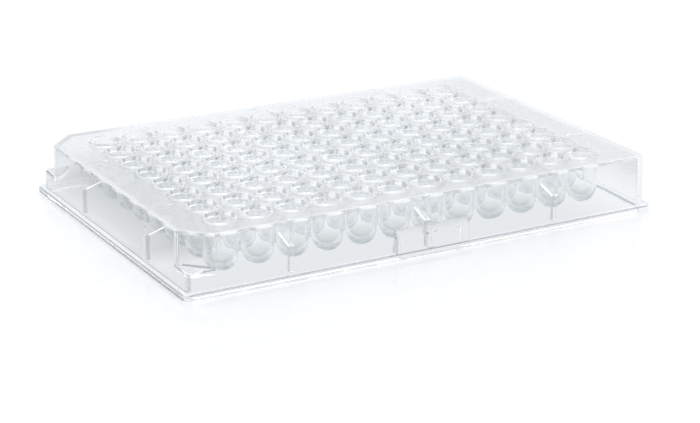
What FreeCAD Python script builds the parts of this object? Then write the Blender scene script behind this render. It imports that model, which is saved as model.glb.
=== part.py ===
import FreeCAD, Part
import math
import os

# 96-well round-bottom plate, one moulding of clear polystyrene, in millimetres.
# Origin at the middle of the footprint, +X along the twelve columns, +Y along the rows, +Z up.

# Well pattern. The footprint follows from it.
columns = 12
rows = 8
pitch = 9.0
end_margin = 14.38          # footprint end to the first column of wells
side_margin = 11.24         # footprint side to the first row of wells

# Heights above the bench.
flange_height = 1.6
ledge_height = 6.0          # top of the full corners, where the two notches begin
deck_height = 14.1
rim_height = 0.25           # how far each well's rim stands above the deck
bottom_clearance = 1.7      # bench to the lowest point of a well

# Skirt and deck.
flange_width = 1.4          # how far the flange stands out past the foot of the wall
wall_draft = 0.35           # how much each wall leans in over its height
skirt_wall = 1.6
deck_wall = 1.2
flange_corner = 2.2
skirt_corner = 1.8
hollow_corner = 0.6         # every upright corner of the hollow inside
deck_edge_round = 0.3

# The notches that cut off the two corners at the first column.
notch_size = 6.7
notch_round = 1.0

# The raised part of the flange in the middle of each long side.
grip_width = 20.0
grip_height = 6.0
grip_slope = 1.4            # how much higher its sloping top meets the wall

# Wells.
well_gap = 1.2              # clear space between neighbouring wells, at the deck
well_wall = 0.5             # side wall of a well, at the deck
well_floor = 1.2
well_draft = 0.1            # how much a well narrows on the outside from deck to dome
bore_draft = 0.2            # how much its bore narrows from rim to dome
rim_land = 0.1              # how far the rim stands out past the well below it

# Gussets that tie the deck to the skirt.
gusset_wall = 1.3
gusset_foot = 1.2           # height of the stem's lower end
gusset_stem = 1.2           # depth of the narrow lower part
gusset_reach = 6.0          # depth at the deck
gusset_step_height = 7.4    # where the lower edge leaves the stem
gusset_slope = 1.6          # how much the lower edge rises from stem to tip
long_side_gussets = [-4, 0, 4]      # places, in pitches from the middle
short_side_gussets = [-2, 2]

length = (columns - 1) * pitch + 2 * end_margin
width = (rows - 1) * pitch + 2 * side_margin
well_radius = (pitch - well_gap) / 2
bore_radius = well_radius - well_wall
rim_top = deck_height + rim_height
ceiling = deck_height - deck_wall


def vec(x, y, z=0.0):
    return FreeCAD.Vector(x, y, z)


def lean_at(z):
    """Inset of the wall's outer face from the footprint at height z."""
    share = (z - flange_height) / (deck_height - flange_height)
    return flange_width + wall_draft * share


def rounded_wire(corners, radii, z):
    """A closed outline with an arc in place of each corner."""
    edges = []
    ends = []
    for i, corner in enumerate(corners):
        before = (corners[i - 1] - corner).normalize()
        after = (corners[(i + 1) % len(corners)] - corner).normalize()
        half = before.getAngle(after) / 2
        reach = radii[i] / math.tan(half)
        bisector = (before + after).normalize()
        centre = corner + bisector * (radii[i] / math.sin(half))
        start = corner + before * reach
        middle = centre - bisector * radii[i]
        end = corner + after * reach
        ends.append((start, middle, end))
    for i, (start, middle, end) in enumerate(ends):
        edges.append(Part.Arc(start, middle, end).toShape())
        edges.append(Part.LineSegment(end, ends[(i + 1) % len(ends)][0]).toShape())
    wire = Part.Wire(edges)
    wire.translate(vec(0, 0, z))
    return wire


def full_outline(inset, radius, z):
    """The plain rectangle, this far inside the footprint."""
    x = length / 2 - inset
    y = width / 2 - inset
    corners = [vec(x, -y), vec(x, y), vec(-x, y), vec(-x, -y)]
    return rounded_wire(corners, [radius] * 4, z)


def notched_outline(inset, radius, round_radius, z):
    """The rectangle with the two corners at the first column cut off."""
    x = length / 2 - inset
    y = width / 2 - inset
    shrink = (inset - flange_width) * (2 - math.sqrt(2))
    cut = notch_size - shrink
    corners = [vec(x, -y), vec(x, y), vec(-x + cut, y), vec(-x, y - cut), vec(-x, -y + cut), vec(-x + cut, -y)]
    radii = [radius, radius] + [round_radius] * 4
    return rounded_wire(corners, radii, z)


def drafted_block(outline, inset, radii, low, high):
    """A block between two heights whose sides lean in with the skirt."""
    inset_low = inset + lean_at(low) - flange_width
    inset_high = inset + lean_at(high) - flange_width
    bottom = outline(inset_low, *radii, low)
    top = outline(inset_high, *radii, high)
    return Part.makeLoft([bottom, top], True, True)


def skirt_block(inset, corner, notch_corner, low, ledge, top):
    """A full block up to the ledge, with a notched one on it."""
    lower = drafted_block(full_outline, inset, [corner], low, ledge)
    upper = drafted_block(notched_outline, inset, [corner, notch_corner], ledge, top)
    return lower.fuse(upper)


def grip_block(side, wall):
    """The raised middle of the flange, or the hollow behind it for a wall thickness."""
    face = width / 2 - wall
    back = width / 2 - flange_width - skirt_wall - wall_draft
    half = grip_width / 2 - wall
    low = 0.0
    slope_end = width / 2 - lean_at(grip_height)
    rise = grip_slope - wall
    profile = [
        vec(-half, side * back, low),
        vec(-half, side * face, low),
        vec(-half, side * face, grip_height - wall),
        vec(-half, side * (slope_end - wall), grip_height + rise),
        vec(-half, side * back, grip_height + rise),
    ]
    outline = Part.makePolygon(profile + profile[:1])
    return Part.Face(outline).extrude(vec(2 * half, 0, 0))


def skirt_shell():
    """Flange, skirt and deck as one open-bottomed tray."""
    flange = Part.Face(full_outline(0.0, flange_corner, 0.0)).extrude(vec(0, 0, flange_height))
    body = skirt_block(flange_width, skirt_corner, notch_round, flange_height, ledge_height, deck_height)
    deck_edges = [e for e in body.Edges if min(v.Z for v in e.Vertexes) > deck_height - 0.01]
    body = body.makeFillet(deck_edge_round, deck_edges)
    body = body.fuse([flange, grip_block(1, 0), grip_block(-1, 0)])
    hollow = skirt_block(flange_width + skirt_wall, hollow_corner, hollow_corner,
                         0.0, ledge_height - skirt_wall, ceiling)
    hollow = hollow.fuse([grip_block(1, skirt_wall), grip_block(-1, skirt_wall)])
    return body.cut(hollow).removeSplitter()


def gusset_profile():
    """Depth and height points of a gusset, measured in from the wall's inner face."""
    into_wall = skirt_wall / 2
    return [
        (-into_wall, gusset_foot),
        (gusset_stem, gusset_foot),
        (gusset_stem, gusset_step_height),
        (gusset_reach, gusset_step_height + gusset_slope),
        (gusset_reach, ceiling + deck_wall / 2),
        (-into_wall, ceiling + deck_wall / 2),
    ]


def gusset(angle, place, wall_distance):
    """One gusset on the side that faces along angle, at a place along it."""
    face = wall_distance - flange_width - skirt_wall
    points = [vec(place - gusset_wall / 2, depth - face, height) for depth, height in gusset_profile()]
    web = Part.Face(Part.makePolygon(points + points[:1])).extrude(vec(gusset_wall, 0, 0))
    web.rotate(vec(0, 0, 0), vec(0, 0, 1), angle)
    return web


def grip_stiffener(side):
    """The foot of the middle gusset, carried out through the hollow behind the grip."""
    back = width / 2 - flange_width - skirt_wall - gusset_stem
    depth = width / 2 - skirt_wall / 2 - back
    start = back if side > 0 else -back - depth
    return Part.makeBox(gusset_wall, depth, grip_height - skirt_wall / 2 - gusset_foot,
                        vec(-gusset_wall / 2, start, gusset_foot))


def gussets():
    webs = []
    for step in long_side_gussets:
        for angle in (0, 180):
            webs.append(gusset(angle, step * pitch, width / 2))
    for step in short_side_gussets:
        for angle in (90, 270):
            webs.append(gusset(angle, step * pitch, length / 2))
    return webs + [grip_stiffener(1), grip_stiffener(-1)]


def well_outside():
    """Solid of one well's outer form, from its domed bottom to the top of its rim."""
    dome = well_radius - well_draft
    centre = bottom_clearance + dome
    low = vec(0, 0, bottom_clearance)
    middle = vec(dome * math.sin(math.pi / 4), 0, centre - dome * math.cos(math.pi / 4))
    shoulder = vec(dome, 0, centre)
    rim = well_radius + rim_land
    points = [shoulder, vec(well_radius, 0, ceiling), vec(well_radius, 0, deck_height - deck_wall / 2),
              vec(rim, 0, deck_height - deck_wall / 2), vec(rim, 0, rim_top), vec(0, 0, rim_top), low]
    edges = [Part.Arc(low, middle, shoulder).toShape()]
    edges += [Part.LineSegment(a, b).toShape() for a, b in zip(points, points[1:])]
    return Part.Face(Part.Wire(edges)).revolve(vec(0, 0, 0), vec(0, 0, 1), 360)


def well_bore():
    """Solid of the space inside one well, round-bottomed and a little wider at the rim."""
    dome = bore_radius - bore_draft
    floor = bottom_clearance + well_floor
    centre = floor + dome
    low = vec(0, 0, floor)
    middle = vec(dome * math.sin(math.pi / 4), 0, centre - dome * math.cos(math.pi / 4))
    shoulder = vec(dome, 0, centre)
    points = [shoulder, vec(bore_radius, 0, rim_top), vec(0, 0, rim_top), low]
    edges = [Part.Arc(low, middle, shoulder).toShape()]
    edges += [Part.LineSegment(a, b).toShape() for a, b in zip(points, points[1:])]
    return Part.Face(Part.Wire(edges)).revolve(vec(0, 0, 0), vec(0, 0, 1), 360)


def well_places():
    for column in range(columns):
        for row in range(rows):
            x = (column - (columns - 1) / 2) * pitch
            y = (row - (rows - 1) / 2) * pitch
            yield vec(x, y)


def patterned(shape):
    copies = []
    for place in well_places():
        copy = shape.copy()
        copy.translate(place)
        copies.append(copy)
    return copies


def well_plate():
    plate = skirt_shell()
    plate = plate.fuse(gussets() + patterned(well_outside()))
    plate = plate.cut(Part.makeCompound(patterned(well_bore())))
    return plate.removeSplitter()


os.makedirs("parts", exist_ok=True)
plate = well_plate()
plate.exportStep("parts/well_plate.step")
box = plate.BoundBox
print("well_plate solids", len(plate.Solids), "valid", plate.isValid(), "volume", round(plate.Volume, 1))
print("faces", len(plate.Faces), "size", round(box.XLength, 3), round(box.YLength, 3), round(box.ZLength, 3))
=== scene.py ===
import bmesh
import bpy
import math
from mathutils import Matrix, Vector


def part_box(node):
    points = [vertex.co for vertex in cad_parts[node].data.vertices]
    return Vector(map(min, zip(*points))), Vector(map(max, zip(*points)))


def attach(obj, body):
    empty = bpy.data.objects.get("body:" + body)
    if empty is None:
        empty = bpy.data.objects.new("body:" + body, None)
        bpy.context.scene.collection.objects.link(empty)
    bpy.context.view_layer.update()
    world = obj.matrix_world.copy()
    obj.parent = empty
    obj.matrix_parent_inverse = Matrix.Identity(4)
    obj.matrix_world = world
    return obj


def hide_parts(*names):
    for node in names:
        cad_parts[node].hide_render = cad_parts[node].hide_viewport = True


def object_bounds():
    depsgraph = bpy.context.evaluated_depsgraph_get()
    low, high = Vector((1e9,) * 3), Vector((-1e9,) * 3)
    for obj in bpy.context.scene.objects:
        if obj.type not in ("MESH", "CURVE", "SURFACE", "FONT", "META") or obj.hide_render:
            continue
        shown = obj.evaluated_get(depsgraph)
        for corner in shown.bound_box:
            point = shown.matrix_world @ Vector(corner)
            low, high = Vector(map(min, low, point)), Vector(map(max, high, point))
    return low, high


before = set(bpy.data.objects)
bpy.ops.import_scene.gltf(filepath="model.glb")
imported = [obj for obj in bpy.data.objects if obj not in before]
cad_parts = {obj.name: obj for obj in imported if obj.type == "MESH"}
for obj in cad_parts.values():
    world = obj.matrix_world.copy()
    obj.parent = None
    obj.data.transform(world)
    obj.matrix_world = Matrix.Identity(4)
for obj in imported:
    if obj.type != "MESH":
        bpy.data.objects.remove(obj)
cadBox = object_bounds()
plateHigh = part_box("well_plate")[1]
millimetre = 0.001

# Lengths are in millimetres in what describes the plate, and in metres for the room, lamp and camera.


# Small helpers for meshes and node trees.

nodeSpacing = (190, -170)       # between columns and rows of nodes, in the editor's own units


def newObject(name, data):
    thing = bpy.data.objects.new(name, data)
    bpy.context.scene.collection.objects.link(thing)
    return thing


def meshFrom(bm, name):
    mesh = bpy.data.meshes.new(name)
    bm.to_mesh(mesh)
    bm.free()
    return mesh


def discard(thing):
    mesh = thing.data
    bpy.data.objects.remove(thing)
    bpy.data.meshes.remove(mesh)


# The mesh that an object's modifiers make. They are removed from it.
def finishedMesh(thing):
    bpy.context.view_layer.update()
    ready = thing.evaluated_get(bpy.context.evaluated_depsgraph_get())
    mesh = bpy.data.meshes.new_from_object(ready)
    thing.modifiers.clear()
    return mesh


def swapMesh(thing, mesh):
    old = thing.data
    thing.data = mesh
    bpy.data.meshes.remove(old)
    mesh.name = thing.name


def inMetres(lengths):
    return [length * millimetre for length in lengths]


def newTree(name, inputs):
    tree = bpy.data.node_groups.new(name, "GeometryNodeTree")
    for label, kind in inputs:
        tree.interface.new_socket(label, in_out="INPUT", socket_type=kind)
    tree.interface.new_socket("Geometry", in_out="OUTPUT", socket_type="NodeSocketGeometry")
    return tree


# Gives an input a value, or a link from another node's output.
def feed(tree, target, value):
    if isinstance(value, bpy.types.NodeSocket):
        tree.links.new(value, target)
    else:
        target.default_value = value


def addNode(tree, kind, spot, settings=None, **values):
    node = tree.nodes.new(kind)
    node.location = (spot[0] * nodeSpacing[0], spot[1] * nodeSpacing[1])
    for key, value in (settings or {}).items():
        setattr(node, key, value)
    for socket, value in values.items():
        feed(tree, node.inputs[socket.replace("_", " ")], value)
    return node


def calculate(tree, operation, spot, *values):
    node = addNode(tree, "ShaderNodeMath", spot, {"operation": operation})
    for target, value in zip(node.inputs, values):
        feed(tree, target, value)
    return node.outputs[0]


def mapRange(tree, spot, value, **limits):
    return addNode(tree, "ShaderNodeMapRange", spot, Value=value, **limits).outputs["Result"]


# The mix node has inputs and an output of its own for each kind of value.
def mixNumbers(tree, spot, share, first, second):
    node = addNode(tree, "ShaderNodeMix", spot, {"data_type": "FLOAT"})
    for k, value in ((0, share), (2, first), (3, second)):
        feed(tree, node.inputs[k], value)
    return node.outputs[0]


def mixColours(tree, spot, share, first, second):
    node = addNode(tree, "ShaderNodeMix", spot, {"data_type": "RGBA"})
    for k, value in ((0, share), (6, first), (7, second)):
        feed(tree, node.inputs[k], value)
    return node.outputs[2]


def mixShaders(tree, spot, share, first, second):
    node = addNode(tree, "ShaderNodeMixShader", spot, Fac=share)
    tree.links.new(first.outputs[0], node.inputs[1])
    tree.links.new(second.outputs[0], node.inputs[2])
    return node


# 1 where a value lies between two limits, and 0 elsewhere.
def between(tree, spot, value, low, high):
    column, row = spot
    above = calculate(tree, "GREATER_THAN", spot, value, low)
    below = calculate(tree, "LESS_THAN", (column, row + 1), value, high)
    return calculate(tree, "MULTIPLY", (column + 1, row), above, below)


# The clear polystyrene of the whole plate. What has painted shade, or is dull or frosted, is said by place.

polystyreneLook = {
    "index": 1.59,
    "tints": ((0.993, 0.995, 0.999, 1.0), (0.992, 0.998, 0.998, 1.0)),    # lilac and green, in slow patches
    "patchRange": (0.35, 0.65),                     # of the flow, from the first tint to the second
    "domeShadeTint": (0.57, 0.62, 0.62, 1.0),            # painted shade: the thick round bottoms are darkened
    "domeFade": (5.5, 2.2),                         # heights where that begins and is full
    "paintedShadeTint": (0.3, 0.33, 0.36, 1.0),             # painted shade along edges and thin webs
    "edgeBand": 0.3,                                # how far in from the footprint the edges count
    "endBand": 1.8,                                 # and how far in the wall's foot, at the notched end
    "flangeTop": (1.3, 1.7),                        # pairs of heights
    "flangeFace": (-0.1, 0.9),
    "wallFoot": (1.62, 1.85),
    "stemHeights": (1.3, 7.3),
    "slopeHeights": (7.3, 9.1),
    "ledgeEdge": (5.7, 6.1),
    "rimEdge": (14.12, 14.33),
    "rimShare": 0.2,                                # how much of it the wells' rims take
    "stemBand": (4.5, 3.2),                         # a stem's inner and outer face, in from the footprint
    "stemReach": (24.0, 45.0),                      # stems lie this near the middle, on ends and sides
    "stemShare": 0.55,                              # how much of the painted shade a stem takes
    "ledgeStart": (-55.5, 34.5),                    # where the two ledges begin, along X and out along Y
    "postBand": 2.4,                                # the upright corners, in from the footprint both ways
    "postShare": 0.4,
    "postHeights": (1.8, 13.7),
    "gripBand": (9.7, 10.3),                        # the ends of the grips, along the side
    "gripDepth": 1.45,                              # and how far in from the footprint they reach
    "gripShare": 0.6,
    "gripHeights": (1.7, 7.3),
    "gripTop": (5.95, 7.5),                         # the grips' sloping tops are frosted
    "gripRoughness": 0.35,
    "facing": 0.7,                                  # a face turned this much towards an axis faces it
    "level": 0.8,                                   # and one turned this much up or down isn't upright
    "wellHaze": (9.5, 12.5),                        # where the wells grow dull
    "wellFrost": 0.6,                               # and how dull, next to the deck
    "wellField": (54.5, 36.0),                      # half the field of wells, each way
    "hollow": (60.4, 39.4),                         # half the space inside the walls
    "roughness": 0.03,
    "deckRoughness": 0.18,                          # the deck's two faces are finely frosted
    "deckFaces": ((12.85, 12.95), (13.95, 14.15)),  # heights of its underside and its top
    "flowScale": 38.0,                              # slow waves that the flow of the melt leaves
    "flowDetail": 2.0,
    "flowRoughness": 0.45,
    "flowHeight": 0.02,
    "unevenRange": (0.3, 0.7),                      # of the flow, and what it does to the roughness
    "uneven": (0.7, 1.3),
    "grainScale": 900.0,
    "grainDetail": 3.0,
    "grainHeight": 0.001,
}


# Where a shaded point lies: its place, how far it is from the middle each way, and where it faces.
def shadedPoint(tree, spot):
    column, row = spot
    given = addNode(tree, "ShaderNodeTexCoord", spot).outputs
    place = addNode(tree, "ShaderNodeSeparateXYZ", (column + 1, row), Vector=given["Object"]).outputs
    normal = addNode(tree, "ShaderNodeSeparateXYZ", (column + 1, row + 1), Vector=given["Normal"]).outputs
    away = [calculate(tree, "ABSOLUTE", (column + 2, row + k), place[axis]) for k, axis in enumerate("XY")]
    return {"object": given["Object"], "place": place, "normal": normal, "away": away}


# 1 within a depth of the footprint's edge, at both ends (0) or along both sides (1).
def nearEdge(tree, spot, point, side, key):
    limit = cadBox[1][side] - polystyreneLook[key] * millimetre
    return calculate(tree, "GREATER_THAN", spot, point["away"][side], limit)


# 1 inside a rectangle round the middle, given by half its length and width.
def insideRectangle(tree, spot, point, key):
    column, row = spot
    x, y = inMetres(polystyreneLook[key])
    return calculate(tree, "MULTIPLY", (column + 2, row),
                     between(tree, spot, point["place"]["X"], -x, x),
                     between(tree, (column, row + 2), point["place"]["Y"], -y, y))


# 1 between two heights.
def atHeight(tree, spot, point, limits):
    return between(tree, spot, point["place"]["Z"], *inMetres(limits))


# 1 on the sides of the gussets' stems, times the share of painted shade that they take.
def stemShare(tree, spot, point):
    look = polystyreneLook
    column, row = spot
    flanks = []
    for k, across in enumerate("YX"):
        line = row + 4 * k
        near, far = [cadBox[1][k] - inset for inset in inMetres(look["stemBand"])]
        depth = between(tree, (column, line + 1), point["away"][k], near, far)
        tilt = calculate(tree, "ABSOLUTE", (column, line), point["normal"][across])
        turned = calculate(tree, "GREATER_THAN", (column + 1, line), tilt, look["facing"])
        reach = calculate(tree, "LESS_THAN", (column, line + 3), point["away"][1 - k],
                          look["stemReach"][k] * millimetre)
        stem = calculate(tree, "MULTIPLY", (column + 2, line), turned, depth)
        flanks.append(calculate(tree, "MULTIPLY", (column + 3, line), stem, reach))
    either = calculate(tree, "MAXIMUM", (column + 4, row), *flanks)
    return calculate(tree, "MULTIPLY", (column + 5, row), look["stemShare"], either)


# 1 on what is upright at the two ledges.
def ledgeShare(tree, spot, point):
    look = polystyreneLook
    column, row = spot
    endX, startY = inMetres(look["ledgeStart"])
    atEnd = calculate(tree, "LESS_THAN", spot, point["place"]["X"], endX)
    outside = calculate(tree, "GREATER_THAN", (column, row + 1), point["away"][1], startY)
    ledge = calculate(tree, "MULTIPLY", (column + 1, row), atEnd, outside)
    tilt = calculate(tree, "ABSOLUTE", (column, row + 2), point["normal"]["Z"])
    upright = calculate(tree, "LESS_THAN", (column + 1, row + 2), tilt, look["level"])
    return calculate(tree, "MULTIPLY", (column + 2, row), ledge, upright)


def postShare(tree, spot, point):
    column, row = spot
    corner = [nearEdge(tree, (column, row + side), point, side, "postBand") for side in (0, 1)]
    return calculate(tree, "MULTIPLY", (column + 2, row), polystyreneLook["postShare"],
                     calculate(tree, "MULTIPLY", (column + 1, row), *corner))


def gripEndShare(tree, spot, point):
    column, row = spot
    first, last = inMetres(polystyreneLook["gripBand"])
    proud = nearEdge(tree, spot, point, 1, "gripDepth")
    end = between(tree, (column, row + 1), point["away"][0], first, last)
    grip = calculate(tree, "MULTIPLY", (column + 2, row), proud, end)
    return calculate(tree, "MULTIPLY", (column + 3, row), grip, polystyreneLook["gripShare"])


# Painted shade where the plastic shows dark lines: the flange's upper edge all round, the face of the
# flange at both ends, the foot of the wall at the notched end, the sides and lower slopes of the gussets,
# the edge of the two ledges, the wells' rims, the upright corners and the ends of the grips.
def paintedShadeShare(tree, spot, point):
    look = polystyreneLook
    column, row = spot
    edges = [nearEdge(tree, (column, row + side), point, side, "edgeBand") for side in (0, 1)]
    notchedEnd = calculate(tree, "LESS_THAN", (column, row + 4), point["place"]["X"],
                           cadBox[0][0] + look["endBand"] * millimetre)
    under = calculate(tree, "LESS_THAN", (column, row + 6), point["normal"]["Z"], -look["facing"])
    zones = [
        ("flangeTop", calculate(tree, "MAXIMUM", (column + 1, row), *edges)),
        ("flangeFace", edges[0]),
        ("wallFoot", notchedEnd),
        ("stemHeights", stemShare(tree, (column - 6, row), point)),
        ("slopeHeights", under),
        ("ledgeEdge", ledgeShare(tree, (column - 6, row + 8), point)),
        ("rimEdge", look["rimShare"]),
        ("postHeights", postShare(tree, (column - 6, row + 12), point)),
        ("gripHeights", gripEndShare(tree, (column - 6, row + 15), point)),
    ]
    share = 0.0
    for k, (key, zone) in enumerate(zones):
        ring = atHeight(tree, (column + 2, row + 2 * k), point, look[key])
        part = calculate(tree, "MULTIPLY", (column + 4, row + 2 * k), ring, zone)
        share = calculate(tree, "MAXIMUM", (column + 5, row + 2 * k), part, share)
    return share


# Smooth walls, a finely frosted deck, wells that grow dull towards it, and the frosted tops of the grips.
def surfaceRoughness(tree, spot, point, flow):
    look = polystyreneLook
    column, row = spot
    under, top = [atHeight(tree, (column, row + 2 * k), point, limits)
                  for k, limits in enumerate(look["deckFaces"])]
    deck = calculate(tree, "MAXIMUM", (column + 2, row), top, under)
    hazeFoot, hazeTop = inMetres(look["wellHaze"])
    haze = mapRange(tree, (column, row + 4), point["place"]["Z"], From_Min=hazeFoot, From_Max=hazeTop,
                    To_Max=look["wellFrost"])
    inside = insideRectangle(tree, (column - 2, row + 6), point, "hollow")
    hazy = calculate(tree, "MULTIPLY", (column + 2, row + 4), inside, haze)
    frost = calculate(tree, "MAXIMUM", (column + 3, row), deck, hazy)
    plain = mapRange(tree, (column + 4, row), frost, To_Min=look["roughness"], To_Max=look["deckRoughness"])
    proud = nearEdge(tree, (column, row + 10), point, 1, "gripDepth")
    slope = calculate(tree, "MULTIPLY", (column + 2, row + 10), proud,
                      atHeight(tree, (column, row + 11), point, look["gripTop"]))
    gripTop = calculate(tree, "MULTIPLY", (column + 3, row + 10), slope, look["gripRoughness"])
    base = calculate(tree, "MAXIMUM", (column + 5, row), plain, gripTop)
    fromMin, fromMax = look["unevenRange"]
    toMin, toMax = look["uneven"]
    uneven = mapRange(tree, (column + 4, row + 2), flow, From_Min=fromMin, From_Max=fromMax,
                      To_Min=toMin, To_Max=toMax)
    return calculate(tree, "MULTIPLY", (column + 6, row), base, uneven)


# The plastic's own tint in slow patches, with painted shade deeper in the round bottoms and dark in the
# zones above.
def surfaceColour(tree, spot, point, flow):
    look = polystyreneLook
    column, row = spot
    patchLow, patchHigh = look["patchRange"]
    patches = mapRange(tree, (column + 2, row), flow, From_Min=patchLow, From_Max=patchHigh)
    tint = mixColours(tree, (column + 3, row), patches, *look["tints"])
    # painted shade, growing towards the round bottoms of the wells
    fadeTop, fadeFoot = inMetres(look["domeFade"])
    depth = mapRange(tree, (column, row + 2), point["place"]["Z"], From_Min=fadeTop, From_Max=fadeFoot)
    field = insideRectangle(tree, (column - 1, row + 4), point, "wellField")
    dome = calculate(tree, "MULTIPLY", (column + 2, row + 2), field, depth)
    body = mixColours(tree, (column + 4, row), dome, tint, look["domeShadeTint"])
    # painted shade along edges, stems, ledges, rims, corners and grip ends
    dark = paintedShadeShare(tree, (column - 1, row + 9), point)
    return mixColours(tree, (column + 5, row), dark, body, look["paintedShadeTint"])


def clearPolystyrene():
    look = polystyreneLook
    material = bpy.data.materials.new("clearPolystyrene")
    material.use_nodes = True
    tree = material.node_tree
    point = shadedPoint(tree, (-18, 4))
    flow = addNode(tree, "ShaderNodeTexNoise", (-14, 0), Vector=point["object"],
                   Scale=look["flowScale"], Detail=look["flowDetail"],
                   Roughness=look["flowRoughness"]).outputs["Fac"]
    grain = addNode(tree, "ShaderNodeTexNoise", (-14, 2), Vector=point["object"],
                    Scale=look["grainScale"], Detail=look["grainDetail"]).outputs["Fac"]
    waves = addNode(tree, "ShaderNodeBump", (-3, 2), Height=flow, Strength=1.0,
                    Distance=look["flowHeight"] * millimetre)
    skin = addNode(tree, "ShaderNodeBump", (-2, 2), Height=grain, Strength=1.0,
                   Distance=look["grainHeight"] * millimetre, Normal=waves.outputs["Normal"])
    shader = tree.nodes["Principled BSDF"]
    shader.inputs["IOR"].default_value = look["index"]
    shader.inputs["Transmission Weight"].default_value = 1.0
    feed(tree, shader.inputs["Roughness"], surfaceRoughness(tree, (-9, 4), point, flow))
    feed(tree, shader.inputs["Base Color"], surfaceColour(tree, (-8, 18), point, flow))
    feed(tree, shader.inputs["Normal"], skin.outputs["Normal"])
    return material


# The field of wells. One well's cell is a sheet of rings, from a square of deck in to the bottom of
# the bore, and a second sheet below it. Geometry Nodes bend a flat grid to the rings and repeat it.

wellSettings = {
    "columns": 12,
    "rows": 8,
    "pitch": 9.0,
    "sides": 32,                # faces round a well
    "rimRadius": 4.0,
    "boreRadius": 3.4,          # at the rim
    "boreFootRadius": 3.2,      # where the round bottom begins
    "outsideRadius": 3.9,
    "outsideFootRadius": 3.8,
    "deckHeight": 14.1,
    "deckUnderside": 12.9,
    "boreBottom": 2.9,
    "outsideBottom": 1.7,
    "softEdge": 0.12,           # how far each hard edge is taken off
    "domeSteps": 8,
    "ringWeld": 0.001,          # closes each ring, and the bottom of each sheet
    "cellWeld": 0.005,          # joins neighbouring cells
}


def domeRings(radius, bottom, steps):
    centre = bottom + radius
    angles = [math.radians(90.0 * k / steps) for k in range(steps + 1)]
    return [(radius * math.cos(a), centre - radius * math.sin(a), 0.0) for a in angles]


def topRings(top):
    s = wellSettings
    soft = s["softEdge"]
    deck = s["deckHeight"]
    rim, bore = s["rimRadius"], s["boreRadius"]
    rings = [
        (s["pitch"] / 2, deck, 1.0),        # last value: 1 where the ring is square, 0 where round
        (rim + soft, deck, 0.0),
        (rim, deck + soft, 0.0),
        (rim, top - soft, 0.0),
        (rim - soft, top, 0.0),
        (bore + soft, top, 0.0),
        (bore, top - soft, 0.0),
    ]
    return rings + domeRings(s["boreFootRadius"], s["boreBottom"], s["domeSteps"])


def underRings():
    s = wellSettings
    soft = s["softEdge"]
    rings = [
        (s["pitch"] / 2, s["deckUnderside"], 1.0),
        (s["outsideRadius"] + soft, s["deckUnderside"], 0.0),
        (s["outsideRadius"], s["deckUnderside"] - soft, 0.0),
    ]
    return rings + domeRings(s["outsideFootRadius"], s["outsideBottom"], s["domeSteps"])


def ringTable(rings, name):
    mesh = bpy.data.meshes.new(name)
    mesh.from_pydata([(r * millimetre, square, z * millimetre) for r, z, square in rings], [], [])
    return newObject(name, mesh)


def sheetTree():
    tree = newTree("wellSheet", [("Rings", "NodeSocketObject"), ("Ring Count", "NodeSocketInt"),
                                 ("Sides", "NodeSocketInt")])
    given = addNode(tree, "NodeGroupInput", (0, 0))
    corners = calculate(tree, "ADD", (1, 1), given.outputs["Sides"], 1)
    grid = addNode(tree, "GeometryNodeMeshGrid", (2, 1), Size_X=1.0, Size_Y=1.0,
                   Vertices_X=corners, Vertices_Y=given.outputs["Ring Count"])
    here = addNode(tree, "GeometryNodeInputPosition", (2, 3))
    parts = addNode(tree, "ShaderNodeSeparateXYZ", (3, 3), Vector=here.outputs[0])
    lastRing = calculate(tree, "SUBTRACT", (3, 5), given.outputs["Ring Count"], 1)
    share = calculate(tree, "ADD", (4, 4), parts.outputs["Y"], 0.5)
    ring = calculate(tree, "ROUND", (6, 4), calculate(tree, "MULTIPLY", (5, 4), share, lastRing))
    table = addNode(tree, "GeometryNodeObjectInfo", (5, 6), Object=given.outputs["Rings"])
    tablePlace = addNode(tree, "GeometryNodeInputPosition", (5, 7))
    sample = addNode(tree, "GeometryNodeSampleIndex", (7, 5), {"data_type": "FLOAT_VECTOR"},
                     Geometry=table.outputs["Geometry"], Value=tablePlace.outputs[0], Index=ring)
    read = addNode(tree, "ShaderNodeSeparateXYZ", (8, 5), Vector=sample.outputs[0])
    turn = calculate(tree, "MULTIPLY", (4, 2), calculate(tree, "ADD", (3, 2), parts.outputs["X"], 0.5),
                     math.tau)
    across = calculate(tree, "COSINE", (5, 1), turn)
    along = calculate(tree, "SINE", (5, 2), turn)
    widest = calculate(tree, "MAXIMUM", (7, 2), calculate(tree, "ABSOLUTE", (6, 1), across),
                       calculate(tree, "ABSOLUTE", (6, 2), along))
    square = calculate(tree, "DIVIDE", (8, 2), 1.0, widest)
    stretch = mixNumbers(tree, (9, 2), read.outputs["Y"], 1.0, square)
    radius = calculate(tree, "MULTIPLY", (10, 2), read.outputs["X"], stretch)
    place = addNode(tree, "ShaderNodeCombineXYZ", (12, 2),
                    X=calculate(tree, "MULTIPLY", (11, 1), radius, across),
                    Y=calculate(tree, "MULTIPLY", (11, 2), radius, along), Z=read.outputs["Z"])
    bend = addNode(tree, "GeometryNodeSetPosition", (13, 1), Geometry=grid.outputs["Mesh"],
                   Position=place.outputs[0])
    close = addNode(tree, "GeometryNodeMergeByDistance", (14, 1), Geometry=bend.outputs[0],
                    Distance=wellSettings["ringWeld"] * millimetre)
    addNode(tree, "NodeGroupOutput", (15, 1), Geometry=close.outputs[0])
    return tree


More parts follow.
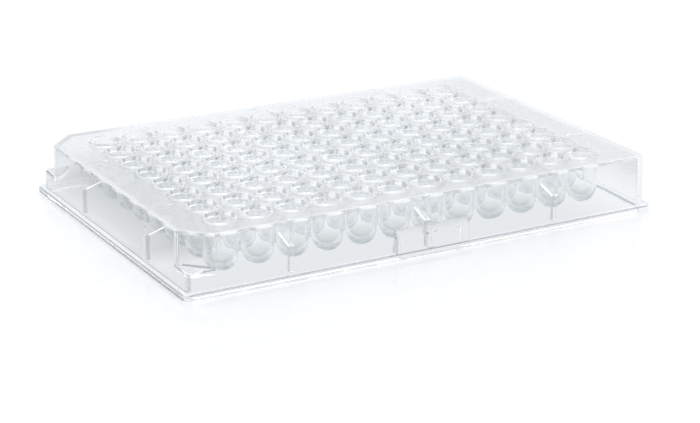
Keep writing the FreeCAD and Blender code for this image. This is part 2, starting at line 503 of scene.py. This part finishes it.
def fieldTree():
    sheet = sheetTree()
    tree = newTree("wellField", [
        ("Top Rings", "NodeSocketObject"), ("Top Ring Count", "NodeSocketInt"),
        ("Under Rings", "NodeSocketObject"), ("Under Ring Count", "NodeSocketInt"),
        ("Sides", "NodeSocketInt"), ("Columns", "NodeSocketInt"), ("Rows", "NodeSocketInt"),
        ("Pitch", "NodeSocketFloat"), ("Material", "NodeSocketMaterial")])
    given = addNode(tree, "NodeGroupInput", (0, 0)).outputs
    top = addNode(tree, "GeometryNodeGroup", (2, 0), {"node_tree": sheet}, Rings=given["Top Rings"],
                  Ring_Count=given["Top Ring Count"], Sides=given["Sides"])
    under = addNode(tree, "GeometryNodeGroup", (2, 2), {"node_tree": sheet}, Rings=given["Under Rings"],
                    Ring_Count=given["Under Ring Count"], Sides=given["Sides"])
    flip = addNode(tree, "GeometryNodeFlipFaces", (3, 2), Mesh=under.outputs[0])
    cell = addNode(tree, "GeometryNodeJoinGeometry", (4, 1))
    tree.links.new(top.outputs[0], cell.inputs[0])
    tree.links.new(flip.outputs[0], cell.inputs[0])
    long = calculate(tree, "MULTIPLY", (3, 4), calculate(tree, "SUBTRACT", (2, 4), given["Columns"], 1),
                     given["Pitch"])
    wide = calculate(tree, "MULTIPLY", (3, 5), calculate(tree, "SUBTRACT", (2, 5), given["Rows"], 1),
                     given["Pitch"])
    places = addNode(tree, "GeometryNodeMeshGrid", (4, 4), Size_X=long, Size_Y=wide,
                     Vertices_X=given["Columns"], Vertices_Y=given["Rows"])
    copies = addNode(tree, "GeometryNodeInstanceOnPoints", (5, 1), Points=places.outputs["Mesh"],
                     Instance=cell.outputs[0])
    real = addNode(tree, "GeometryNodeRealizeInstances", (6, 1), Geometry=copies.outputs[0])
    merge = addNode(tree, "GeometryNodeMergeByDistance", (7, 1), Geometry=real.outputs[0],
                    Distance=wellSettings["cellWeld"] * millimetre)
    paint = addNode(tree, "GeometryNodeSetMaterial", (8, 1), Geometry=merge.outputs[0],
                    Material=given["Material"])
    addNode(tree, "NodeGroupOutput", (9, 1), Geometry=paint.outputs[0])
    return tree


def wellField(material, rimTop):
    s = wellSettings
    top, under = topRings(rimTop), underRings()
    topTable, underTable = ringTable(top, "topRings"), ringTable(under, "underRings")
    tree = fieldTree()
    holder = newObject("wellFieldHolder", bpy.data.meshes.new("wellFieldHolder"))
    modifier = holder.modifiers.new("wellField", "NODES")
    modifier.node_group = tree
    values = {"Top Rings": topTable, "Top Ring Count": len(top), "Under Rings": underTable,
              "Under Ring Count": len(under), "Sides": s["sides"], "Columns": s["columns"],
              "Rows": s["rows"], "Pitch": s["pitch"] * millimetre, "Material": material}
    for item in tree.interface.items_tree:
        if item.in_out == "INPUT":
            modifier[item.identifier] = values[item.name]
    mesh = finishedMesh(holder)
    for thing in (holder, topTable, underTable):
        discard(thing)
    return mesh


# The skirt and flange: closed outlines with the same number of points, stacked from the deck's edge
# down the outside, across the foot, and up the inside to the underside of the deck.

skirtSettings = {
    "flangeWidth": 1.4,
    "flangeHeight": 1.6,
    "flangeCorner": 2.2,
    "skirtCorner": 1.8,
    "innerRound": 0.6,          # every upright corner of the hollow
    "wall": 1.6,
    "wallDraft": 0.35,
    "ledgeHeight": 6.0,         # top of the full corners under the two notches
    "notchSize": 6.7,
    "notchRound": 1.0,
    "gripWidth": 20.0,          # the raised middle of each long side
    "gripHeight": 6.0,
    "gripSlope": 1.4,
    "deckRound": 0.3,
    "deckRoundSteps": 4,
    "softEdge": 0.3,
    "cornerSteps": 8,
    "weld": 0.002,              # joins the skirt's rings to the deck
}


def leanAt(height):
    s = skirtSettings
    rise = wellSettings["deckHeight"] - s["flangeHeight"]
    return s["flangeWidth"] + s["wallDraft"] * (height - s["flangeHeight"]) / rise


def arcPoints(centreX, centreY, radius, start, end, steps):
    turns = [math.radians(start + (end - start) * k / steps) for k in range(steps + 1)]
    return [(centreX + radius * math.cos(a), centreY + radius * math.sin(a)) for a in turns]


# A corner at the first column, cut off above the ledge and full below it, with as many points each way.
def leftCorner(x, y, row):
    s = skirtSettings
    cut = s["notchSize"] - (row["inset"] - s["flangeWidth"]) * (2 - math.sqrt(2))
    near = row["notchRound"] * math.tan(math.radians(45 / 2))     # each notch turns by 45 degrees
    if row["corners"] == "cut":
        half = s["cornerSteps"] // 2
        radius = row["notchRound"]
        first = arcPoints(x - radius, y - cut - near, radius, 0, 45, half)
        second = arcPoints(x - cut - near, y - radius, radius, 45, 90, half)
        middle = ((first[-1][0] + second[0][0]) / 2, (first[-1][1] + second[0][1]) / 2)
        return first + [middle] + second
    radius = row["corner"]
    step = s["softEdge"] if row["corners"] == "ledge" else 0.0
    arc = arcPoints(x - radius, y - radius, radius - step, 0, 90, s["cornerSteps"])
    return [(x, y - cut - near)] + arc + [(x - cut - near, y)]


# One closed outline at a row's height. The grips, or the hollows behind them, bulge from its long sides.
def outline(row):
    x = plateHigh.x / millimetre - row["inset"]
    y = plateHigh.y / millimetre - row["inset"]
    corner = row["corner"]
    right = arcPoints(x - corner, y - corner, corner, 0, 90, skirtSettings["cornerSteps"])
    left = leftCorner(x, y, row)
    face = y if row["grip"] is None else plateHigh.y / millimetre - row["grip"]
    half = row["gripHalf"]
    soft = min(skirtSettings["softEdge"], abs(face - y) / 2)
    side = [(half, y), (half, face - soft), (half - soft, face)]
    bump = side + [(-px, py) for px, py in reversed(side)]
    points = right + bump + [(-px, py) for px, py in reversed(left)]
    points += [(-px, -py) for px, py in left] + [(-px, -py) for px, py in bump]
    points += [(px, -py) for px, py in reversed(right)]
    return [(px * millimetre, py * millimetre, row["height"] * millimetre) for px, py in points]


def skirtRows():
    s = skirtSettings
    soft, wall = s["softEdge"], s["wall"]
    deck, ledge, grip = wellSettings["deckHeight"], s["ledgeHeight"], s["gripHeight"]
    inside = wellSettings["deckUnderside"]
    rows = []

    def add(height, inset, corners, gripInset=None, corner=s["skirtCorner"], notchRound=s["notchRound"],
            gripHalf=s["gripWidth"] / 2):
        rows.append({"height": height, "inset": inset, "corners": corners, "grip": gripInset,
                     "corner": corner, "notchRound": notchRound, "gripHalf": gripHalf})

    # The outside, from the deck's rounded edge down to the foot.
    shoulder = deck - s["deckRound"]
    for k in range(s["deckRoundSteps"] + 1):
        turn = math.radians(90 - 90 * k / s["deckRoundSteps"])
        inward = s["deckRound"] * (1 - math.cos(turn))
        add(shoulder + s["deckRound"] * math.sin(turn), leanAt(shoulder) + inward, "cut",
            corner=s["skirtCorner"] - inward, notchRound=s["notchRound"] - inward)
    add(grip + s["gripSlope"], leanAt(grip + s["gripSlope"]), "cut")
    add(ledge, leanAt(ledge), "cut", soft)
    add(ledge, leanAt(ledge), "ledge", soft)
    add(ledge - soft, leanAt(ledge - soft), "full", 0.0)
    add(s["flangeHeight"], leanAt(s["flangeHeight"]), "full", 0.0)
    add(s["flangeHeight"], soft, "full", 0.0, corner=s["flangeCorner"] - soft)
    add(s["flangeHeight"] - soft, 0.0, "full", 0.0, corner=s["flangeCorner"])
    add(soft, 0.0, "full", 0.0, corner=s["flangeCorner"])
    add(0.0, soft, "full", soft, corner=s["flangeCorner"] - soft)

    # The inside, from the foot up to the underside of the deck.
    innerRound = s["innerRound"]
    innerHalf = s["gripWidth"] / 2 - wall
    add(0.0, leanAt(0) + wall - soft, "full", wall - soft, innerRound + soft, innerRound, innerHalf + soft)
    add(soft, leanAt(soft) + wall, "full", wall, innerRound, innerRound, innerHalf)
    add(ledge - wall, leanAt(ledge - wall) + wall, "full", wall, innerRound, innerRound, innerHalf)
    add(ledge - wall, leanAt(ledge - wall) + wall, "cut", wall, innerRound, innerRound, innerHalf)
    add(grip + s["gripSlope"] - wall, leanAt(grip) + wall, "cut", None, innerRound, innerRound, innerHalf)
    add(inside, leanAt(inside) + wall, "cut", None, innerRound, innerRound, innerHalf)
    return rows


def addSkirt(bm):
    rings = [[bm.verts.new(point) for point in outline(row)] for row in skirtRows()]
    for upper, lower in zip(rings, rings[1:]):
        for k in range(len(upper)):
            near = (k + 1) % len(upper)
            bm.faces.new((upper[k], lower[k], lower[near], upper[near]))


def openEdges(bm, height):
    level = height * millimetre
    slack = skirtSettings["weld"] * millimetre / 2
    return [e for e in bm.edges if e.is_boundary and all(abs(v.co.z - level) < slack for v in e.verts)]


def openEdgeCount(bm):
    return sum(1 for e in bm.edges if not e.is_manifold)


# The gussets that tie the deck to the skirt: flat webs with a narrow stem and a deep head.

gussetSettings = {
    "thickness": 1.3,
    "foot": 1.2,                # height of the stem's lower end
    "stemDepth": 1.2,
    "reach": 6.0,
    "stepHeight": 7.4,
    "slope": 1.6,
    "softEdge": 0.1,
    "longSidePlaces": (-4, 0, 4),       # in pitches from the middle
    "shortSidePlaces": (-2, 2),
}


def gussetProfile(throughGrip):
    s = gussetSettings
    wall = skirtSettings["wall"]
    low = s["foot"]
    high = (wellSettings["deckUnderside"] + wellSettings["deckHeight"]) / 2
    points = [(s["stemDepth"], low), (s["stemDepth"], s["stepHeight"]),
              (s["reach"], s["stepHeight"] + s["slope"]), (s["reach"], high), (-wall / 2, high)]
    if throughGrip:
        foot = skirtSettings["gripHeight"] - wall / 2
        out = -skirtSettings["flangeWidth"] - wall / 2
        return points + [(-wall / 2, foot), (out, foot), (out, low)]
    return points + [(-wall / 2, low)]


# One gusset on the side that lies this far from the middle, at a place along it.
def oneGusset(place, turn, edge):
    s = gussetSettings
    bm = bmesh.new()
    face = edge / millimetre - (skirtSettings["flangeWidth"] + skirtSettings["wall"])
    throughGrip = turn in (0, 180) and place == 0
    side = place * wellSettings["pitch"] - s["thickness"] / 2
    near = [bm.verts.new((side, depth - face, height)) for depth, height in gussetProfile(throughGrip)]
    moved = bmesh.ops.extrude_face_region(bm, geom=[bm.faces.new(near)])["geom"]
    far = [v for v in moved if isinstance(v, bmesh.types.BMVert)]
    bmesh.ops.translate(bm, vec=(s["thickness"], 0, 0), verts=far)
    bmesh.ops.recalc_face_normals(bm, faces=bm.faces)
    bmesh.ops.bevel(bm, geom=list(bm.edges), offset=s["softEdge"], segments=1, affect="EDGES")
    bmesh.ops.scale(bm, vec=(millimetre,) * 3, verts=bm.verts)
    facing = Matrix.Rotation(math.radians(turn), 3, "Z")
    bmesh.ops.rotate(bm, cent=(0, 0, 0), matrix=facing, verts=bm.verts)
    return meshFrom(bm, "gusset")


def gussetMesh():
    s = gussetSettings
    bm = bmesh.new()
    spots = [(place, turn, plateHigh.y) for place in s["longSidePlaces"] for turn in (0, 180)]
    spots += [(place, turn, plateHigh.x) for place in s["shortSidePlaces"] for turn in (90, 270)]
    for spot in spots:
        part = oneGusset(*spot)
        bm.from_mesh(part)
        bpy.data.meshes.remove(part)
    bmesh.ops.recalc_face_normals(bm, faces=bm.faces)
    return meshFrom(bm, "gussets")


# The whole plate: the wells' sheets and the skirt closed into one skin, with the gussets joined to it.

plateSettings = {
    "lastWeld": 0.001,          # once the gussets are joined
    "sharpAngle": 50.0,         # degrees between faces from which an edge stays sharp
    "normalWeight": 60,
}


def smoothWithEdges(mesh):
    s = plateSettings
    bm = bmesh.new()
    bm.from_mesh(mesh)
    bmesh.ops.remove_doubles(bm, verts=bm.verts, dist=s["lastWeld"] * millimetre)
    bmesh.ops.recalc_face_normals(bm, faces=bm.faces)
    loose = openEdgeCount(bm)
    sharp = 0
    for face in bm.faces:
        face.smooth = True
    for edge in bm.edges:
        edge.smooth = not edge.is_manifold or edge.calc_face_angle(0.0) < math.radians(s["sharpAngle"])
        sharp += not edge.smooth
    bm.to_mesh(mesh)
    bm.free()
    return loose, sharp


def plateSkin(material):
    wells = wellField(material, plateHigh.z / millimetre)
    print("wells:", len(wells.polygons), "faces")
    bm = bmesh.new()
    bm.from_mesh(wells)
    bpy.data.meshes.remove(wells)
    addSkirt(bm)
    bmesh.ops.remove_doubles(bm, verts=bm.verts, dist=skirtSettings["weld"] * millimetre)
    for height in (wellSettings["deckHeight"], wellSettings["deckUnderside"]):
        bmesh.ops.triangle_fill(bm, use_beauty=True, edges=openEdges(bm, height))
    bmesh.ops.recalc_face_normals(bm, faces=bm.faces)
    print("plate without gussets:", len(bm.faces), "faces,", openEdgeCount(bm), "open edges")
    return meshFrom(bm, "clearWellPlate")


def wellPlate(material):
    plate = newObject("clearWellPlate", plateSkin(material))
    webs = newObject("gussets", gussetMesh())
    for thing in (plate, webs):
        thing.data.materials.clear()
        thing.data.materials.append(material)
    union = plate.modifiers.new("gussets", "BOOLEAN")
    union.operation, union.solver, union.object = "UNION", "MANIFOLD", webs
    swapMesh(plate, finishedMesh(plate))
    discard(webs)
    loose, sharp = smoothWithEdges(plate.data)
    print("plate with gussets:", len(plate.data.polygons), "faces,", loose, "open edges,", sharp, "sharp")
    weight = plate.modifiers.new("weightedNormals", "WEIGHTED_NORMAL")
    weight.keep_sharp = True
    weight.weight = plateSettings["normalWeight"]
    swapMesh(plate, finishedMesh(plate))
    return plate


# The room: a pale floor, a white surround a little grey in front, and one broad soft lamp above.

white = (1.0, 1.0, 1.0, 1.0)

roomSettings = {
    "floorSize": 4.0,
    "floorColour": (0.93, 0.93, 0.94, 1.0),
    "floorRoughness": 0.5,
    "floorWhite": 0.8,                       # share of plain white where the floor is looked at
    "floorGloss": 0.2,
    "floorGlossRoughness": 0.1,
    "floorGlossColour": (0.97, 0.975, 1.0, 1.0),
    "floorThrough": (0.955, 0.977, 1.0),     # the floor as the plastic shows it
    "floorShades": (                         # painted shade, soft rectangles where it is darker: X, Y, border, shade
        ((-3.0, -0.066), (-3.0, 3.0), 0.014, 0.35),
        ((-0.066, -0.035), (-0.02, 0.06), 0.01, 0.72),
        ((-0.09, 0.07), (-0.06, 0.0), 0.025, 0.83),
        ((0.064, 3.0), (-3.0, 3.0), 0.026, 0.75),
    ),
    "roomTint": (0.945, 0.972, 1.0, 1.0),    # the surround as the plastic shows it
    "frontGrey": 0.82,
    "backWhite": 1.0,
    "frontReach": (-0.7, -0.1),              # directions along Y from the one to the other
    "roomLight": 0.75,                       # how strongly it lights what is dull
}


# 1 inside a pair of limits, and 0 outside them, with a soft step at each.
def softBetween(tree, spot, value, limits, border):
    column, row = spot
    low, high = limits
    return calculate(tree, "MULTIPLY", (column + 1, row),
                     mapRange(tree, spot, value, From_Min=low, From_Max=low + border),
                     mapRange(tree, (column, row + 1), value, From_Min=high, From_Max=high - border))


# Painted shade on the floor as the plastic shows it: how much of its light the floor keeps at each place.
def floorShade(tree, spot):
    column, row = spot
    place = addNode(tree, "ShaderNodeTexCoord", (column, row)).outputs["Object"]
    split = addNode(tree, "ShaderNodeSeparateXYZ", (column + 1, row), Vector=place).outputs
    shade = 1.0
    for k, (along, across, border, dark) in enumerate(roomSettings["floorShades"]):
        line = row + 4 * k
        inside = calculate(tree, "MULTIPLY", (column + 4, line),
                           softBetween(tree, (column + 2, line), split["X"], along, border),
                           softBetween(tree, (column + 2, line + 2), split["Y"], across, border))
        step = mapRange(tree, (column + 5, line), inside, To_Min=1.0, To_Max=dark)
        shade = calculate(tree, "MULTIPLY", (column + 6, line), step, shade)
    return shade


# Looked at directly, the floor is mostly plain white. Through the plastic, or mirrored in it, it has its
# other colour and its painted shades, and for scattered light it is an ordinary pale floor.
def floorMaterial():
    s = roomSettings
    material = bpy.data.materials.new("paleFloor")
    material.use_nodes = True
    tree = material.node_tree
    lit = tree.nodes["Principled BSDF"]
    lit.inputs["Base Color"].default_value = s["floorColour"]
    lit.inputs["Roughness"].default_value = s["floorRoughness"]
    bent = addNode(tree, "ShaderNodeVectorMath", (-3, 3), {"operation": "SCALE"},
                   Scale=floorShade(tree, (-11, 6)))
    bent.inputs[0].default_value = s["floorThrough"]
    paths = addNode(tree, "ShaderNodeLightPath", (-5, 3)).outputs
    colour = mixColours(tree, (-2, 3), paths["Is Camera Ray"], bent.outputs[0], white)
    glow = addNode(tree, "ShaderNodeEmission", (-1, 3), Color=colour, Strength=1.0)
    turned = calculate(tree, "MAXIMUM", (-2, 5), paths["Is Glossy Ray"], paths["Is Transmission Ray"])
    direct = calculate(tree, "MULTIPLY", (-2, 6), paths["Is Camera Ray"], s["floorWhite"])
    share = calculate(tree, "MAXIMUM", (-1, 5), turned, direct)
    plain = mixShaders(tree, (2, 2), share, lit, glow)
    gloss = addNode(tree, "ShaderNodeBsdfGlossy", (2, 4), Color=s["floorGlossColour"],
                    Roughness=s["floorGlossRoughness"])
    sheen = calculate(tree, "MULTIPLY", (2, 6), paths["Is Camera Ray"], s["floorGloss"])
    both = mixShaders(tree, (3, 2), sheen, plain, gloss)
    feed(tree, tree.nodes["Material Output"].inputs["Surface"], both.outputs[0])
    return material


def buildFloor():
    half = roomSettings["floorSize"] / 2
    bm = bmesh.new()
    corners = ((-half, -half, 0), (half, -half, 0), (half, half, 0), (-half, half, 0))
    bm.faces.new([bm.verts.new(corner) for corner in corners])
    floor = newObject("floor", meshFrom(bm, "floor"))
    floor.data.materials.append(floorMaterial())


def buildWorld():
    s = roomSettings
    world = bpy.data.worlds.new("studio")
    bpy.context.scene.world = world
    world.use_nodes = True
    tree = world.node_tree
    place = addNode(tree, "ShaderNodeTexCoord", (-6, 0)).outputs["Generated"]
    split = addNode(tree, "ShaderNodeSeparateXYZ", (-5, 0), Vector=place).outputs
    front, back = s["frontReach"]
    depth = mapRange(tree, (-4, 0), split["Y"], From_Min=front, From_Max=back,
                     To_Min=s["frontGrey"], To_Max=s["backWhite"])
    paths = addNode(tree, "ShaderNodeLightPath", (-5, 3)).outputs
    seen = mixNumbers(tree, (-3, 0), paths["Is Camera Ray"], depth, 1.0)
    strength = mixNumbers(tree, (-2, 0), paths["Is Diffuse Ray"], seen, s["roomLight"])
    colour = mixColours(tree, (-3, 2), paths["Is Camera Ray"], s["roomTint"], white)
    background = tree.nodes["Background"]
    feed(tree, background.inputs["Color"], colour)
    feed(tree, background.inputs["Strength"], strength)


lampSettings = {
    "place": (0.1, 0.25, 0.9),
    "aim": (0.0, 0.0, 0.0),
    "size": 1.7,
    "watts": 11.5,
}


def buildLamp():
    s = lampSettings
    light = bpy.data.lights.new("topLamp", "AREA")
    light.size = s["size"]
    light.energy = s["watts"]
    lamp = newObject("topLamp", light)
    lamp.location = s["place"]
    lamp.rotation_euler = (Vector(s["aim"]) - Vector(s["place"])).to_track_quat("-Z", "Y").to_euler()


cameraSettings = {
    "azimuth": -30.341,         # degrees
    "elevation": 19.587,
    "roll": 0.689,
    "distance": 0.4993,
    "aim": (0.00027, -0.00366, -0.00181),
    "lens": 103.5,              # the lens and the sensor in millimetres
    "sensor": 36.0,
    "clip": (0.01, 20.0),
}


def buildCamera():
    s = cameraSettings
    azimuth, elevation = math.radians(s["azimuth"]), math.radians(s["elevation"])
    back = Vector((math.sin(azimuth) * math.cos(elevation), -math.cos(azimuth) * math.cos(elevation),
                   math.sin(elevation)))
    right = Vector((0, 0, 1)).cross(back).normalized()
    up = back.cross(right)
    turn = Matrix.Rotation(math.radians(s["roll"]), 3, back)
    facing = Matrix((turn @ right, turn @ up, back)).transposed()
    data = bpy.data.cameras.new("camera")
    data.lens, data.sensor_width = s["lens"], s["sensor"]
    data.clip_start, data.clip_end = s["clip"]
    camera = newObject("camera", data)
    camera.location = Vector(s["aim"]) + back * s["distance"]
    camera.rotation_euler = facing.to_euler()
    bpy.context.scene.camera = camera


lightBounces = 96               # enough for light to find its way through a row of wells

plate = wellPlate(clearPolystyrene())
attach(plate, "root")
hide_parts("well_plate")

buildFloor()
buildWorld()
buildLamp()
buildCamera()
scene = bpy.context.scene
scene.view_settings.view_transform = "Standard"
scene.cycles.max_bounces = lightBounces
scene.cycles.transmission_bounces = lightBounces
scene.cycles.glossy_bounces = lightBounces
print("room and camera ready")
